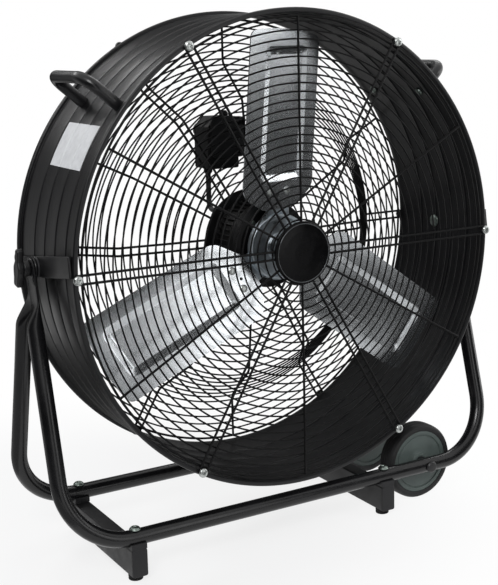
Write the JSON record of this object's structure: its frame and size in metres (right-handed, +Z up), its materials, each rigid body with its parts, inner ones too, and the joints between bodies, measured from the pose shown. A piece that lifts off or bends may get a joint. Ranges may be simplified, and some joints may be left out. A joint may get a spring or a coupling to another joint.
{
  "type": "drum fan",
  "caption": "Drum fan in a wheeled tubular floor stand: wire guards, pressed blades and a motor in a rolled drum that tilts between two legs and locks with side knobs.",
  "frame": {"origin": "on the floor, half way across the fan and half way along its overall depth; the tilt axis is 5.2 mm behind it and 417 mm above it", "axes": "+X to the right seen from the front, +Y from the front guard to the rear, +Z up"},
  "size_m": [0.726, 0.2404, 0.7476],
  "materials": {
    "black_paint": "gloss black powder coat",
    "guard_paint": "satin black coated wire",
    "blade_metal": "satin rolled sheet",
    "zinc_steel": "bright zinc plate",
    "black_rubber": "matt",
    "black_plastic": "fine moulded grain",
    "badge_plastic": "gloss with a grey rim",
    "motor_paint": "semi-gloss black"
  },
  "bodies": {
    "stand": {"front_frame": "black_paint", "rear_frame": "black_paint", "left_rail": "black_paint", "right_rail": "black_paint", "rail_end_caps": "black_plastic", "rubber_feet": "black_rubber", "tube_saddles": "black_plastic", "frame_bolts": "zinc_steel", "wheel_axles": "zinc_steel"},
    "drum": {"drum_shell": "black_paint", "left_pivot_bracket": "black_paint", "right_pivot_bracket": "black_paint", "pivot_washers": "black_plastic", "pivot_bolts": "zinc_steel", "carry_handles": "black_paint", "handle_bolts": "zinc_steel", "front_guard_spokes": "guard_paint", "front_guard_hoop": "guard_paint", "front_hub_plate": "guard_paint", "front_guard_rings": "guard_paint", "front_guard_screws": "zinc_steel", "rear_guard_spokes": "guard_paint", "rear_guard_hoop": "guard_paint", "rear_guard_rings": "guard_paint", "rear_guard_screws": "zinc_steel", "badge": "badge_plastic", "motor_plate": "motor_paint", "motor_housing": "motor_paint", "motor_front_cap": "motor_paint", "motor_bolts": "zinc_steel", "switch_box_mount": "black_paint", "switch_box": "black_plastic", "switch_box_lid": "black_plastic", "lid_screws": "zinc_steel", "cable_glands": "black_plastic", "motor_lead": "black_rubber"},
    "impeller": {"motor_shaft": "zinc_steel", "hub_nut": "zinc_steel", "hub_spider": "zinc_steel", "blade_1": "blade_metal", "blade_2": "blade_metal", "blade_3": "blade_metal", "blade_rivets": "zinc_steel"},
    "front_wheel": {"front_wheel_tyre": "black_rubber", "front_wheel_hub": "black_plastic"},
    "rear_wheel": {"rear_wheel_tyre": "black_rubber", "rear_wheel_hub": "black_plastic"},
    "left_knob": {"left_clamp_knob": "black_plastic"},
    "right_knob": {"right_clamp_knob": "black_plastic"},
    "speed_dial": {"speed_knob": "black_plastic"}
  },
  "joints": [
    {"name": "drum_tilt", "type": "hinge", "parent": "stand", "child": "drum", "pos_m": [0, 0.00517, 0.417], "axis": [1, 0, 0], "range_deg": [-90, 90]},
    {"name": "impeller_spin", "type": "hinge", "parent": "drum", "child": "impeller", "pos_m": [0, -0.02882, 0.417], "axis": [0, 1, 0], "continuous": true},
    {"name": "front_wheel_spin", "type": "hinge", "parent": "stand", "child": "front_wheel", "pos_m": [0.231, -0.06283, 0.059], "axis": [0, 1, 0], "continuous": true},
    {"name": "rear_wheel_spin", "type": "hinge", "parent": "stand", "child": "rear_wheel", "pos_m": [0.231, 0.07318, 0.059], "axis": [0, 1, 0], "continuous": true},
    {"name": "left_knob_turn", "type": "hinge", "parent": "drum", "child": "left_knob", "pos_m": [-0.354, 0.00517, 0.417], "axis": [1, 0, 0], "continuous": true},
    {"name": "right_knob_turn", "type": "hinge", "parent": "drum", "child": "right_knob", "pos_m": [0.354, 0.00517, 0.417], "axis": [1, 0, 0], "continuous": true},
    {"name": "speed_dial_turn", "type": "hinge", "parent": "drum", "child": "speed_dial", "pos_m": [-0.038, 0.10018, 0.575], "axis": [0, 1, 0], "range_deg": [0, 135]}
  ]
}
